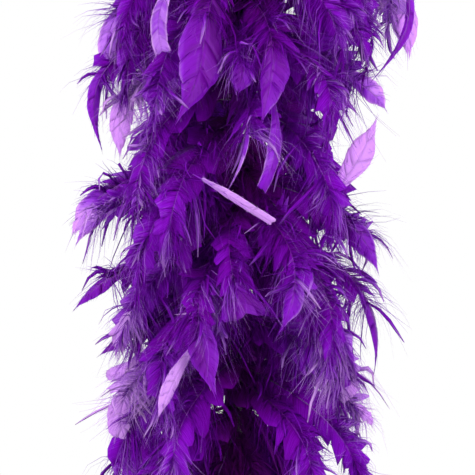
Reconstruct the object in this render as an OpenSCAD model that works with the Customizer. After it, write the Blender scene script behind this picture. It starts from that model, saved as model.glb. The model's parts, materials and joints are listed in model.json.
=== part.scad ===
// Chandelle feather boa, hanging straight down from the loop at its top end.
// Two cotton plies run side by side and grip the quills of the feathers, and a thread binds them together.
// The plies and feathers are split into eight stretches, which bend against each other.
// Z is up, the origin is the top inside edge of the hanging loop, and the boa hangs along -Z.

/* [Boa] */
// Length of one stretch of the feathered cord; there are eight
stretch_l = 210; // [160:5:240]
// Distance from the top inside edge of the loop to the first feathers
lead_l = 60; // [58:1:80]

/* [Cord] */
// Diameter of one cotton ply
ply_d = 2; // [1.6:0.1:2.4]
// Gap between the two plies
ply_gap = 0.04; // [0.02:0.01:0.1]
// Diameter of the binding thread
thread_d = 0.4; // [0.3:0.05:0.6]
// How deep a turn of thread presses into the plies
thread_bite = 0.05; // [0.01:0.01:0.1]

/* [Feathers] */
// Mean length of a feather, from the cord to its tip
feather_l = 95; // [70:1:110]
// How much longer or shorter than the mean a feather may be
feather_l_spread = 19; // [0:1:25]
// Mean width of a feather at its widest
feather_w = 18; // [12:1:20]
// How much wider or narrower than the mean a feather may be
feather_w_spread = 4; // [0:0.5:5]
// Thickness of a feather
feather_t = 0.4; // [0.3:0.05:0.6]
// Width of the quill where the cord grips it
quill_w = 1.2; // [0.8:0.1:1.6]
// Angle by which the feathers droop below level
droop = 45; // [40:1:50]

/* [Ends] */
// Inside radius of the hanging loop
loop_r = 8; // [6:0.5:9]
// Diameter of the cord at the loop and the tail, with both plies in it
cord_d = 4; // [3.5:0.1:4.5]
// Diameter of the knots at the two ends
knot_d = 12; // [10:0.5:14]
// Height of those knots
knot_h = 12; // [10:0.5:12]
// Diameter of the thread that is whipped round the cord beside each knot
whip_thread_d = 1; // [0.8:0.1:1]
// Diameter of the small knot at the end of the tail
tail_knot_d = 8; // [6:0.5:10]

/* [Hidden] */
stretches = 8;
part_names = ["upper", "middle", "lower"];
quills_in_group = 18;
quills_in_stretch = quills_in_group * len(part_names);
pitch = stretch_l / quills_in_stretch;
golden_angle = 137.508;
// the first quill stands this share of a pitch below the top of its stretch
first_quill_share = 0.25;
// a feather starts this far from the cord's middle, so that the plies grip it
quill_start = 0.6;
// share of a feather's length at which it is widest
widest_share = 0.62;
// angle between neighbouring points of a feather's rounded tip
tip_step = 22.5;
// lengths and widths wander round their means by these angles from one feather to the next
length_wander = 97;
width_wander = 61;
// every third gap between quills holds a turn of thread, this far below the quill
turn_every = 3;
turn_drop = 0.25;
ply_x = (ply_d + ply_gap) / 2;
cord_half_w = ply_x + ply_d / 2;
// heights of the ends, down from the origin
knot_top_z = 26 - lead_l;
knot_bottom_z = knot_top_z - knot_h;
whip_turns = 10;
whip_gap = 1;
feathers_end_z = -lead_l - stretches * stretch_l;
last_whip_z = feathers_end_z - whip_gap;
last_knot_z = last_whip_z - whip_turns * whip_thread_d - whip_gap;
// how far a cord's end goes into the knot that holds it
into_knot = 2;
// the loop's cord runs round its eye and then straight to the knot, side by side with itself
loop_mid_r = loop_r + cord_d / 2;
leg_x = cord_d / 2 + 0.1;
leg_end_z = knot_top_z - into_knot;
// angle of the straight legs off the vertical, where they meet the round of the loop smoothly
leg_reach = norm([leg_x, leg_end_z + loop_r]);
leg_angle = asin(loop_mid_r / leg_reach) - atan(leg_x / -(leg_end_z + loop_r));
leg_l = sqrt(leg_reach ^ 2 - loop_mid_r ^ 2);
// the tail's route below the last knot, as sideways and downward steps
tail_steps = [[0, 2], [0, -3], [0.1, -8], [0.3, -13], [0.7, -18], [1.2, -23], [1.8, -28], [2.4, -33],
              [2.9, -38], [3.2, -43], [3.3, -48], [3.2, -53], [3, -58], [2.8, -63], [2.7, -68]];
tail_sides = 8;
tail_start_z = last_knot_z - knot_h;
tail_knot_h = 8;
round_fn = 48;

function two_digits(s) = str(s < 10 ? "0" : "", s);
function stretch_top(s) = -lead_l - (s - 1) * stretch_l;
function quill_z(s, i) = stretch_top(s) - (i + first_quill_share) * pitch;

cord_names = ["ply_a", "ply_b", "binding_thread"];
end_names = ["hanging_loop", "top_knot", "top_whipping", "bottom_whipping", "bottom_knot", "tail", "tail_knot"];
cord_nodes = [for (s = [1 : stretches]) for (name = cord_names) str(name, "_", two_digits(s))];
feather_nodes = [for (s = [1 : stretches]) for (name = part_names) str("feathers_", two_digits(s), "_", name)];

// Outline of a feather lying along X: a narrow quill that widens evenly to the vane's rounded tip
function feather_outline(l, w) =
    let (widest = widest_share * l)
    concat(
        [[0, -quill_w / 2]],
        [for (a = [-90 : tip_step : 90]) [widest + (l - widest) * cos(a), w / 2 * sin(a)]],
        [[0, quill_w / 2]]
    );

// One feather, the n-th from the top of the boa, with its quill at height z
module feather(n, z) {
    l = feather_l + feather_l_spread * sin(n * length_wander);
    w = feather_w + feather_w_spread * cos(n * width_wander);
    translate([0, 0, z])
        rotate([0, droop, n * golden_angle])
            translate([quill_start, 0, -feather_t / 2])
                linear_extrude(feather_t)
                    polygon(feather_outline(l, w));
}

// A third of a stretch's feathers: group 0 is the upper one, 1 the middle one and 2 the lower one
module feathers(s, group) {
    color(["#6A12A8", "#5A0A96", "#4B0082"][group])
        for (k = [0 : quills_in_group - 1]) {
            i = group * quills_in_group + k;
            feather((s - 1) * quills_in_stretch + i, quill_z(s, i));
        }
}

// One ply of the cord along stretch s; the first and the last ones reach into the knots
module ply(s, side) {
    top = s == 1 ? knot_bottom_z + into_knot : stretch_top(s);
    bottom = s == stretches ? last_knot_z - into_knot : stretch_top(s + 1);
    color("#2A0838")
        translate([side * ply_x, 0, bottom])
            cylinder(h = top - bottom, d = ply_d, $fn = round_fn);
}

// The turns of thread that bind the plies of stretch s between the quills
module binding_thread(s) {
    color("#1C0428")
        for (i = [1 : turn_every : quills_in_stretch - 1])
            translate([0, 0, quill_z(s, i) - turn_drop])
                rotate_extrude($fn = round_fn)
                    translate([cord_half_w + thread_d / 2 - thread_bite, 0])
                        circle(d = thread_d, $fn = round_fn);
}

// The loop that the boa hangs from: a round eye, with two legs that close towards the knot
module hanging_loop() {
    color("#3A0A50")
        translate([0, 0, -loop_r])
            rotate([90, 0, 0]) {
                rotate([0, 0, -leg_angle])
                    rotate_extrude(angle = 180 + 2 * leg_angle, $fn = round_fn)
                        translate([loop_mid_r, 0])
                            circle(d = cord_d, $fn = round_fn);
                for (side = [0, 1])
                    mirror([side, 0, 0])
                        rotate([0, 0, -leg_angle])
                            translate([loop_mid_r, 0, 0])
                                rotate([90, 0, 0])
                                    cylinder(h = leg_l, d = cord_d, $fn = round_fn);
            }
}

// A knot pulled tight, as a barrel with rounded shoulders whose top is at z = 0
module knot(d, h) {
    shoulder = h / 4;
    rotate_extrude($fn = round_fn) {
        translate([0, -h]) square([d / 2 - shoulder, h]);
        translate([0, shoulder - h]) square([d / 2, h - 2 * shoulder]);
        for (y = [-shoulder, shoulder - h])
            translate([d / 2 - shoulder, y]) circle(r = shoulder, $fn = round_fn);
    }
}

module top_knot() {
    color("#32083F") translate([0, 0, knot_top_z]) knot(knot_d, knot_h);
}

module bottom_knot() {
    color("#32083F") translate([0, 0, last_knot_z]) knot(knot_d, knot_h);
}

// Thread whipped round both plies, turn on turn, with its top at z = 0
module whipping() {
    rotate_extrude($fn = round_fn)
        translate([cord_half_w - thread_bite, 0]) {
            translate([0, -whip_turns * whip_thread_d])
                square([whip_thread_d / 2, whip_turns * whip_thread_d]);
            for (t = [0 : whip_turns - 1])
                translate([whip_thread_d / 2, -(t + 0.5) * whip_thread_d])
                    circle(d = whip_thread_d, $fn = round_fn);
        }
}

module top_whipping() {
    color("#1C0428") translate([0, 0, knot_bottom_z - whip_gap]) whipping();
}

module bottom_whipping() {
    color("#1C0428") translate([0, 0, last_whip_z]) whipping();
}

// The tail's tube: a ring of points square to Z at each step of its route, joined into one closed surface
module tail() {
    route = [for (p = tail_steps) [p[0], 0, tail_start_z + p[1]]];
    rings = len(route);
    points = [for (p = route) for (k = [0 : tail_sides - 1])
        p + cord_d / 2 * [cos(k * 360 / tail_sides), sin(k * 360 / tail_sides), 0]];
    sides = [for (r = [0 : rings - 2]) for (k = [0 : tail_sides - 1])
        let (a = r * tail_sides, next = (k + 1) % tail_sides)
        [a + k, a + next, a + tail_sides + next, a + tail_sides + k]];
    first = [for (k = [tail_sides - 1 : -1 : 0]) k];
    last = [for (k = [0 : tail_sides - 1]) (rings - 1) * tail_sides + k];
    color("#3A0A50") polyhedron(points, concat([first], sides, [last]), convexity = 4);
}

// The small knot that closes the tail's end
module tail_knot() {
    end = tail_steps[len(tail_steps) - 1];
    color("#32083F") translate([end[0], 0, tail_start_z + end[1] + into_knot]) knot(tail_knot_d, tail_knot_h);
}

hanging_loop();
top_knot();
top_whipping();
bottom_whipping();
bottom_knot();
tail();
tail_knot();
for (s = [1 : stretches]) {
    ply(s, -1);
    ply(s, 1);
    binding_thread(s);
    for (g = [0 : len(part_names) - 1])
        feathers(s, g);
}
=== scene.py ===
"""Looks of a chandelle feather boa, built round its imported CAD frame.

The boa hangs along -Z from the loop at its top end. Every feather grows from the quill that the frame gives
it: a curved rachis, a satin vane of lobes on either side of it, and loose down at its foot. All lengths are
in metres.
"""

import json
import math

import bpy
import numpy as np
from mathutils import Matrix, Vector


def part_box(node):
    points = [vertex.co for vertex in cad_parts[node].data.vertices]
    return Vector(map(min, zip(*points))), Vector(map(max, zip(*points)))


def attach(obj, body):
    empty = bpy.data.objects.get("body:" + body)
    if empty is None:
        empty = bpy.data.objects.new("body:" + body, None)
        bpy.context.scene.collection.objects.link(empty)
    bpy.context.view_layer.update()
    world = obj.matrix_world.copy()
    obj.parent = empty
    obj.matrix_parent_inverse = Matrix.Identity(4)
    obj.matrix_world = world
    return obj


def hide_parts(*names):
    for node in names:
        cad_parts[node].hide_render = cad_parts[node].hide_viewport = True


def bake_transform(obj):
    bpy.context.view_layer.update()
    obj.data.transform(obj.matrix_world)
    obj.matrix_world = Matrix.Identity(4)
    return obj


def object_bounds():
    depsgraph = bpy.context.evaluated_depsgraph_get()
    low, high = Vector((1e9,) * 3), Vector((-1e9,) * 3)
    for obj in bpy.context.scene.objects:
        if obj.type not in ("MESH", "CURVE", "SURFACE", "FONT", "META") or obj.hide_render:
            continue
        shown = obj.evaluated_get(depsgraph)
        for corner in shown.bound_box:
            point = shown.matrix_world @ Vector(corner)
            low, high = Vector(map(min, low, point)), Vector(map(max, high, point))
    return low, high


bl_info = {
    "name": "Feather boa",
    "version": (1, 0, 0),
    "blender": (4, 5, 0),
    "location": "3D View > Sidebar > Boa",
    "description": "Builds the feathers, cord and ends of a chandelle boa round its frame",
    "category": "Add Mesh",
}

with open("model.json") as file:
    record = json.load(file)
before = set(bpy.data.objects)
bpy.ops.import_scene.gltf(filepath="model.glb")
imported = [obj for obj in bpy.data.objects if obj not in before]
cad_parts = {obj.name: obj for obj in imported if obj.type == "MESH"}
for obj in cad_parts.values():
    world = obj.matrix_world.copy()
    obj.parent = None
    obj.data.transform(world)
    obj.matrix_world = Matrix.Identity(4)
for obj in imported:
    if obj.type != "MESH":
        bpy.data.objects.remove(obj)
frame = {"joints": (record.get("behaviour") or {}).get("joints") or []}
CAD_BOX = [list(corner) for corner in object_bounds()]

MM = 0.001
DOWN = np.array([0.0, 0.0, -1.0])
TO_CAMERA = np.array([0.0, -1.0, 0.0])

# The frame's own layout: eight stretches between hinges, each with 54 quills in three groups
HINGE_Z = [joint["pos_m"][2] for joint in frame["joints"]]
STRETCH = HINGE_Z[0] - HINGE_Z[1]
STRETCHES = len(HINGE_Z) + 1
FEATHERS_TOP = HINGE_Z[0] + STRETCH
FEATHERS_END = HINGE_Z[-1] - STRETCH
GROUPS = ("upper", "middle", "lower")
GROUP_QUILLS = 18
STRETCH_QUILLS = GROUP_QUILLS * len(GROUPS)
QUILLS = STRETCH_QUILLS * STRETCHES
PITCH = STRETCH / STRETCH_QUILLS
FIRST_QUILL_SHARE = 0.25
GOLDEN_ANGLE = math.radians(137.508)
LENGTH_WANDER = math.radians(97)
WIDTH_WANDER = math.radians(61)

# The camera looks level at the middle of the boa
VIEW_Z = (FEATHERS_TOP + FEATHERS_END) / 2
VIEW_HEIGHT = 0.2375
SENSOR_WIDTH = 36
# feathers rooted between these heights can hang into the view, and are made in more detail
NEAR_TOP = VIEW_Z + 0.21
NEAR_END = VIEW_Z - 0.14

# How feathers hang. Slopes are in degrees above level, and each feather's lies between the two given
RACHIS_POINTS = 25
START_SLOPES = (-58, -12)
END_SLOPES = (-100, -58)
# a share of the feathers are strays, which stand out of the boa and turn less along their length
STRAY_SHARE = 0.08
STRAY_STARTS = (-30, 18)
STRAY_TURNS = (-35, 15)
# feathers near the view's middle hang this much steeper
SETTLED = math.radians(13)
# feathers nearer than this to the camera's side of the cord are combed towards this angle
COMB_EDGE = math.radians(52)
# angle between a rachis and its barbs, and the painted shade at the cord: how dark the tone is made there,
# where the boa shades itself
BARB_ANGLE = math.radians(58)
PAINTED_CORD_SHADE = 0.24
# a feather's down lies in locks, and its barbs are dealt out this many locks apart, so that all fill evenly
LOCKS = 26
LOCK_STRIDE = 7
# points past these distances, out from the cord and below the last quill, are drawn in to the spare room
GIRTH = 80 * MM
GIRTH_SPARE = 14 * MM
BELOW = 90 * MM
BELOW_SPARE = 40 * MM

# The cord: the loop's legs lie a gap apart, and its ends go a little way into the knot
CORD_D = 4.0 * MM
LEG_GAP = 0.1 * MM
INTO_KNOT = 1 * MM
PLY_STEP = 1.05 * MM
TAIL_STEP = 1.2 * MM
PLY_SIDES = 10
THREAD_SIDES = 5
THREAD_TURN_STEPS = 14
WHIPPING_SIDES = 7
WHIPPING_STEPS = 240
LOOP_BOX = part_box("hanging_loop")
TOP_KNOT_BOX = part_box("top_knot")
BOTTOM_KNOT_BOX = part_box("bottom_knot")
# the tail's route below its knot, as sideways and downward steps in millimetres
TAIL_STEPS = [(0, 2), (0, -3), (0.1, -8), (0.3, -13), (0.7, -18), (1.2, -23), (1.8, -28), (2.4, -33),
              (2.9, -38), (3.2, -43), (3.3, -48), (3.2, -53), (3, -58), (2.8, -63), (2.7, -68)]


# ---------------------------------------------------------------- settings

def linear(code):
    """Linear RGB of an sRGB hex colour such as '#5A0096'."""
    values = [int(code[i:i + 2], 16) / 255 for i in (1, 3, 5)]
    return [v / 12.92 if v <= 0.04045 else ((v + 0.055) / 1.055) ** 2.4 for v in values]


def colour_prop(name, code, description):
    return bpy.props.FloatVectorProperty(
        name=name, description=description, subtype="COLOR", size=3, min=0, max=1, default=linear(code))


def length_prop(name, value, description):
    return bpy.props.FloatProperty(
        name=name, description=description, default=value, min=0, subtype="DISTANCE", unit="LENGTH")


def share_prop(name, value, description):
    return bpy.props.FloatProperty(
        name=name, description=description, default=value, min=0, max=1, subtype="FACTOR")


def count_prop(name, value, description):
    return bpy.props.IntProperty(name=name, description=description, default=value, min=1)


def power_prop(name, value, description):
    return bpy.props.FloatProperty(
        name=name, description=description, default=value, min=0, unit="POWER")


def strength_prop(name, value, description):
    return bpy.props.FloatProperty(name=name, description=description, default=value, min=0)


class BoaFeatherSettings(bpy.types.PropertyGroup):
    """Sizes and counts of the feathers."""

    length: length_prop("Length", 95 * MM, "Mean length of a feather along its rachis")
    length_spread: length_prop("Length spread", 19 * MM, "How much longer or shorter a feather may be")
    width: length_prop("Width", 22 * MM, "Mean width of a vane")
    width_spread: length_prop("Width spread", 4 * MM, "How much wider or narrower a vane may be")
    web: length_prop("Downy web", 19 * MM, "Reach of the downy web to either side of the rachis at the cord")
    lock_width: length_prop("Lock width", 2.2 * MM, "Width of a lock of clinging down")
    vane_t: length_prop("Vane thickness", 0.12 * MM, "Thickness of a vane's web")
    quill_d: length_prop("Quill diameter", 1.3 * MM, "Diameter of the quill at the cord")
    plume_share: share_prop("Plumes", 0.62, "Share of the feathers that are downy nearly to the tip")
    soft_barbs: count_prop("Soft barbs, near", 375, "Soft barbs of a feather in the detailed stretch")
    core_barbs: count_prop("Core barbs, near", 90, "Short barbs of a feather that fill the boa at its cord")
    wisp_barbs: count_prop("Wisps, near", 80, "Finest barbs of a feather in the detailed stretch")
    far_barbs: count_prop("Barbs, elsewhere", 78, "Barbs of any other feather, fewer and broader")
    parting: share_prop("Parting", 0.65, "How far the front feathers are combed to either side")
    seed: bpy.props.IntProperty(
        name="Seed", description="Seed of the feathers' small differences", default=11)


class BoaCordSettings(bpy.types.PropertyGroup):
    """Sizes of the cord and its thread."""

    cord_d: length_prop("Cord diameter", CORD_D, "Diameter of the two plies twisted together")
    lay: length_prop("Lay", 13 * MM, "Length of one whole turn of the plies")
    thread_d: length_prop("Thread diameter", 0.4 * MM, "Diameter of the binding thread")
    whip_d: length_prop("Whipping thread", 1 * MM, "Diameter of the thread whipped beside each knot")


class BoaColourSettings(bpy.types.PropertyGroup):
    """Dyed colours of the boa, and the deep shade that is painted near the cord."""

    # shade is painted shade: the colour the tone reaches where it is darkened at the cord
    shade: colour_prop("Deep shade", "#4A0648", "Down and vane near the cord")
    body: colour_prop("Body", "#620086", "Middle tone of a vane")
    light: colour_prop("Light", "#7E0FB8", "Brighter vanes")
    pale: colour_prop("Pale", "#DCA8EE", "Palest vanes and tips")
    glow: colour_prop("Glow", "#BC64E8", "Light that comes through one layer of web")
    quill: colour_prop("Quill", "#22062E", "Quill and rachis")
    cotton: colour_prop("Cotton", "#26092F", "Plies of the cord")
    thread: colour_prop("Thread", "#1A0524", "Binding and whipping thread")


class BoaStageSettings(bpy.types.PropertyGroup):
    """Camera and studio light."""

    lens: bpy.props.FloatProperty(
        name="Lens", description="Focal length", default=200, min=20, unit="CAMERA")
    background: strength_prop("Background", 1.0, "Brightness of the white surround")
    ambient: strength_prop("Ambient", 1.05, "Brightness of the surround as a light")
    key: power_prop("Key light", 102, "Power of the key light")
    fill: power_prop("Fill light", 52, "Power of the fill light")
    paper: colour_prop("Paper", "#EFEFEF", "Colour of the studio floor")


# ---------------------------------------------------------------- numpy helpers

def unit(v):
    """Each vector over its own length."""
    return v / np.maximum(np.linalg.norm(v, axis=-1, keepdims=True), 1e-12)


def smooth(x):
    """3x^2 - 2x^3 of x held between 0 and 1."""
    x = np.clip(x, 0, 1)
    return x * x * (3 - 2 * x)


def mix(a, b, share):
    return a + (b - a) * share


def turned(s, n, angle):
    """s and n turned by the angle in their own plane: s cos + n sin, and n cos - s sin."""
    c, k = np.cos(angle)[..., None], np.sin(angle)[..., None]
    return s * c + n * k, n * c - s * k


def frames_of(path, side):
    """Tangent, side and normal along each path. The tangent is the path's slope, the side is the given vector
    less its part along the tangent, and the normal is tangent x side."""
    tangent = unit(np.gradient(path, axis=-2))
    side = np.broadcast_to(side, path.shape)
    side = unit(side - np.sum(side * tangent, axis=-1, keepdims=True) * tangent)
    return tangent, side, np.cross(tangent, side)


def carried_frames(path):
    """Tangent, side and normal along one path, where the side is carried from point to point without
    twisting: at each point it is the last side less its part along the new tangent."""
    tangent = unit(np.gradient(path, axis=0))
    side = np.empty_like(path)
    start = np.array([0.0, 1.0, 0.0]) if abs(tangent[0][1]) < 0.9 else np.array([1.0, 0.0, 0.0])
    last = unit(start - (start @ tangent[0]) * tangent[0])
    for i, t in enumerate(tangent):
        last = unit(last - (last @ t) * t)
        side[i] = last
    return tangent, side, np.cross(tangent, side)


def lengths_along(path):
    """Length of the path up to each of its points."""
    return np.concatenate([[0], np.cumsum(np.linalg.norm(np.diff(path, axis=0), axis=1))])


def join(parts):
    """One part from several: their points, faces, tones and maps one after the other."""
    starts = np.cumsum([0] + [len(p["points"]) for p in parts])
    faces = [(f + start, p["slot"], is_flat) for p, start in zip(parts, starts) for f, is_flat in p["faces"]]
    whole = {key: np.concatenate([p[key] for p in parts]) for key in ("points", "tone", "barbs", "atlas")}
    whole["faces"] = [f for f, slot, is_flat in faces]
    whole["slots"] = np.concatenate([np.full(len(f), slot) for f, slot, is_flat in faces])
    whole["flat"] = np.concatenate([np.full(len(f), is_flat) for f, slot, is_flat in faces])
    return whole


def add_mesh(name, parts, materials):
    """A mesh object at the origin from computed parts, each with its points, faces, tone and two maps:
    barbs, in millimetres along and across, for patterns, and OFBake, which lays each feather in its own
    cell."""
    whole = join(parts)
    mesh = bpy.data.meshes.new(name)
    mesh.vertices.add(len(whole["points"]))
    mesh.vertices.foreach_set("co", whole["points"].astype(np.float32).ravel())
    corners = np.concatenate([f.ravel() for f in whole["faces"]])
    sizes = np.concatenate([np.full(len(f), f.shape[1]) for f in whole["faces"]])
    mesh.loops.add(len(corners))
    mesh.loops.foreach_set("vertex_index", corners.astype(np.int32))
    mesh.polygons.add(len(sizes))
    mesh.polygons.foreach_set("loop_start", (np.cumsum(sizes) - sizes).astype(np.int32))
    mesh.polygons.foreach_set("material_index", whole["slots"].astype(np.int32))
    mesh.update(calc_edges=True)
    mesh.polygons.foreach_set("use_smooth", ~whole["flat"].astype(bool))
    tone = mesh.attributes.new("tone", "FLOAT", "POINT")
    tone.data.foreach_set("value", whole["tone"].astype(np.float32))
    for layer, key in (("barbs", "barbs"), ("OFBake", "atlas")):
        uv = mesh.uv_layers.new(name=layer)
        uv.data.foreach_set("uv", whole[key][corners].astype(np.float32).ravel())
    for material in materials:
        mesh.materials.append(material)
    piece = bpy.data.objects.new(name, mesh)
    bpy.context.scene.collection.objects.link(piece)
    return piece


def strips(count, rings, sides):
    """Faces of tubes with closed ends, each of some rings of a few points: quads between rings and a fan
    over each end."""
    ring = np.arange(rings - 1)[:, None] * sides
    k = np.arange(sides)[None, :]
    after = (k + 1) % sides
    quads = np.stack([ring + k, ring + after, ring + sides + after, ring + sides + k], axis=-1).reshape(-1, 4)
    fan = np.arange(1, sides - 1)
    first = np.stack([np.zeros_like(fan), fan + 1, fan], axis=-1)
    last = (rings - 1) * sides + np.stack([np.zeros_like(fan), fan, fan + 1], axis=-1)
    starts = np.arange(count)[:, None, None] * rings * sides
    return (quads[None] + starts).reshape(-1, 4), (np.vstack([first, last])[None] + starts).reshape(-1, 3)


def strands(path, half_width, half_depth, across, tone, barbs, atlas):
    """Closed tapering strands, three-sided: a keel and a flat back. A point is path + half_width cos(a)
    across + half_depth sin(a) over, for a at 90, 210 and 330 degrees, where over is tangent x across. path
    is (strands, rings, 3); widths and tone are (strands, rings), and the two maps (strands, rings, 2)."""
    count, rings = path.shape[:2]
    sides = 3
    _, across, over = frames_of(path, across)
    a = np.arange(sides) * 2 * math.pi / sides + math.pi / 2
    points = (path[:, :, None]
              + (half_width[..., None] * np.cos(a))[..., None] * across[:, :, None]
              + (half_depth[..., None] * np.sin(a))[..., None] * over[:, :, None])
    quads, ends = strips(count, rings, sides)
    spread = (half_width[..., None] * np.cos(a) / MM)[..., None] * np.array([1.0, 0.0])
    return {"points": points.reshape(-1, 3), "faces": [(quads, False), (ends, True)], "slot": 0,
            "tone": np.repeat(tone.reshape(-1), sides),
            "barbs": (barbs[:, :, None] + spread).reshape(-1, 2),
            "atlas": (atlas[:, :, None] + spread * 0.002).reshape(-1, 2)}


def tube(path, radius, sides):
    """One closed tube along a path: the path + radius (cos a side + sin a normal), with frames carried
    along it."""
    rings = len(path)
    _, side, normal = carried_frames(path)
    a = np.arange(sides) * 2 * math.pi / sides
    points = (path[:, None] + radius
              * (np.cos(a)[None, :, None] * side[:, None] + np.sin(a)[None, :, None] * normal[:, None]))
    quads, ends = strips(1, rings, sides)
    along = lengths_along(path)[:, None]
    around = np.arange(sides)[None, :] / sides
    barbs = np.stack(np.broadcast_arrays(along / MM, around), axis=-1).reshape(-1, 2)
    atlas = np.stack(np.broadcast_arrays(along / max(along[-1, 0], 1e-9), around), axis=-1).reshape(-1, 2)
    return {"points": points.reshape(-1, 3), "faces": [(quads, False), (ends, True)], "slot": 0,
            "tone": np.full(rings * sides, 0.5), "barbs": barbs, "atlas": atlas}


# ---------------------------------------------------------------- materials

def add_node(tree, kind, inputs=None, **settings):
    """Adds a node, sets its properties, and fills or links its inputs."""
    made = tree.nodes.new(kind)
    for key, value in settings.items():
        setattr(made, key, value)
    for key, value in (inputs or {}).items():
        if isinstance(value, bpy.types.NodeSocket):
            tree.links.new(value, made.inputs[key])
        else:
            made.inputs[key].default_value = value
    return made


def new_material(name):
    material = bpy.data.materials.new(name)
    material.use_nodes = True
    material.node_tree.nodes.clear()
    return material, material.node_tree


def rgba(colour):
    return (*colour, 1.0)


def colour_ramp(tree, factor, stops):
    """A ramp through (position, colour) stops."""
    ramp = add_node(tree, "ShaderNodeValToRGB", {"Fac": factor})
    elements = ramp.color_ramp.elements
    while len(elements) < len(stops):
        elements.new(0.5)
    for element, (position, colour) in zip(elements, stops):
        element.position = position
        element.color = rgba(colour)
    return ramp.outputs["Color"]


def barb_streaks(tree, spacing_mm, length_mm):
    """Noise drawn out along the barbs: fine across them, slow along them. Its size is in the barbs map's
    millimetres."""
    uv = add_node(tree, "ShaderNodeUVMap", uv_map="barbs")
    scaled = add_node(tree, "ShaderNodeMapping", {"Vector": uv.outputs["UV"],
                                                  "Scale": (1 / spacing_mm, 1 / length_mm, 1)})
    noise = add_node(tree, "ShaderNodeTexNoise", {"Vector": scaled.outputs["Vector"], "Scale": 1.0,
                                                  "Detail": 2.0, "Roughness": 0.6}, noise_dimensions="2D")
    return noise.outputs["Fac"]


def thin_web(tree, colour, through, height, bump, surface, share):
    """Keratin web under one bump: a surface that reflects, mixed by share with one that light comes
    through."""
    normal = add_node(tree, "ShaderNodeBump", {"Height": height, **bump}).outputs["Normal"]
    reflecting = add_node(tree, "ShaderNodeBsdfPrincipled", {
        "Base Color": colour, "IOR": 1.54, "Normal": normal, **surface})
    glowing = add_node(tree, "ShaderNodeBsdfTranslucent", {"Color": through, "Normal": normal})
    both = add_node(tree, "ShaderNodeMixShader", {
        "Fac": share, 1: reflecting.outputs["BSDF"], 2: glowing.outputs["BSDF"]})
    add_node(tree, "ShaderNodeOutputMaterial", {"Surface": both.outputs[0]})


def dyed_turkey_vane(colours):
    """Turkey flat, acid dyed: barbs of keratin hooked into a thin satin web. Light shines along the barbs and
    glows through the web from behind, so the surface is part satin gloss and part translucent."""
    material, tree = new_material("dyed_turkey_vane")
    tone = add_node(tree, "ShaderNodeAttribute", attribute_name="tone")
    streak = barb_streaks(tree, 0.7, 9.0)
    patch = barb_streaks(tree, 5.0, 22.0)
    added = add_node(tree, "ShaderNodeMath", {0: patch, 1: streak}, operation="ADD")
    moved = add_node(tree, "ShaderNodeMath", {0: added.outputs[0], 1: 1.0}, operation="SUBTRACT")
    lifted = add_node(tree, "ShaderNodeMath", {0: moved.outputs[0], 1: 0.18, 2: tone.outputs["Fac"]},
                      operation="MULTIPLY_ADD")
    colour = colour_ramp(tree, lifted.outputs[0], [
        (0.05, colours.shade), (0.42, colours.body), (0.68, colours.light), (1.0, colours.pale)])
    through = colour_ramp(tree, lifted.outputs[0], [
        (0.05, colours.body), (0.5, colours.glow), (1.0, colours.pale)])
    share = add_node(tree, "ShaderNodeMapRange", {
        "Value": tone.outputs["Fac"], "From Min": 0.4, "From Max": 1.1, "To Min": 0.38, "To Max": 0.62})
    thin_web(tree, colour, through, streak, {"Strength": 0.4, "Distance": 0.12 * MM},
             {"Roughness": 0.44, "Specular IOR Level": 0.32, "Specular Tint": rgba(colours.pale)},
             share.outputs["Result"])
    return material


def dyed_turkey_down(colours):
    """Loose down of the same feathers: barbs without hooks, so they scatter light softly and have no
    gloss."""
    material, tree = new_material("dyed_turkey_down")
    tone = add_node(tree, "ShaderNodeAttribute", attribute_name="tone")
    streak = barb_streaks(tree, 0.45, 14.0)
    moved = add_node(tree, "ShaderNodeMath", {0: streak, 1: 0.5}, operation="SUBTRACT")
    lifted = add_node(tree, "ShaderNodeMath", {0: moved.outputs[0], 1: 0.5, 2: tone.outputs["Fac"]},
                      operation="MULTIPLY_ADD")
    colour = colour_ramp(tree, lifted.outputs[0], [
        (0.05, colours.shade), (0.38, colours.body), (0.68, colours.light), (1.0, colours.pale)])
    through = colour_ramp(tree, lifted.outputs[0], [
        (0.05, colours.shade), (0.45, colours.light), (0.85, colours.glow)])
    thin_web(tree, colour, through, streak, {"Strength": 0.6, "Distance": 0.2 * MM},
             {"Roughness": 0.7, "Specular IOR Level": 0.12, "Specular Tint": rgba(colours.glow)}, 0.40)
    return material


def dyed_quill(colours):
    """Quill and rachis: solid keratin, which takes the dye darkest and keeps a dull horn gloss."""
    material, tree = new_material("dyed_quill")
    tone = add_node(tree, "ShaderNodeAttribute", attribute_name="tone")
    colour = colour_ramp(tree, tone.outputs["Fac"], [
        (0.0, colours.quill), (0.42, colours.body), (0.68, colours.light), (1.0, colours.pale)])
    horn = add_node(tree, "ShaderNodeBsdfPrincipled", {"Base Color": colour, "Roughness": 0.38, "IOR": 1.54})
    add_node(tree, "ShaderNodeOutputMaterial", {"Surface": horn.outputs["BSDF"]})
    return material


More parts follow.
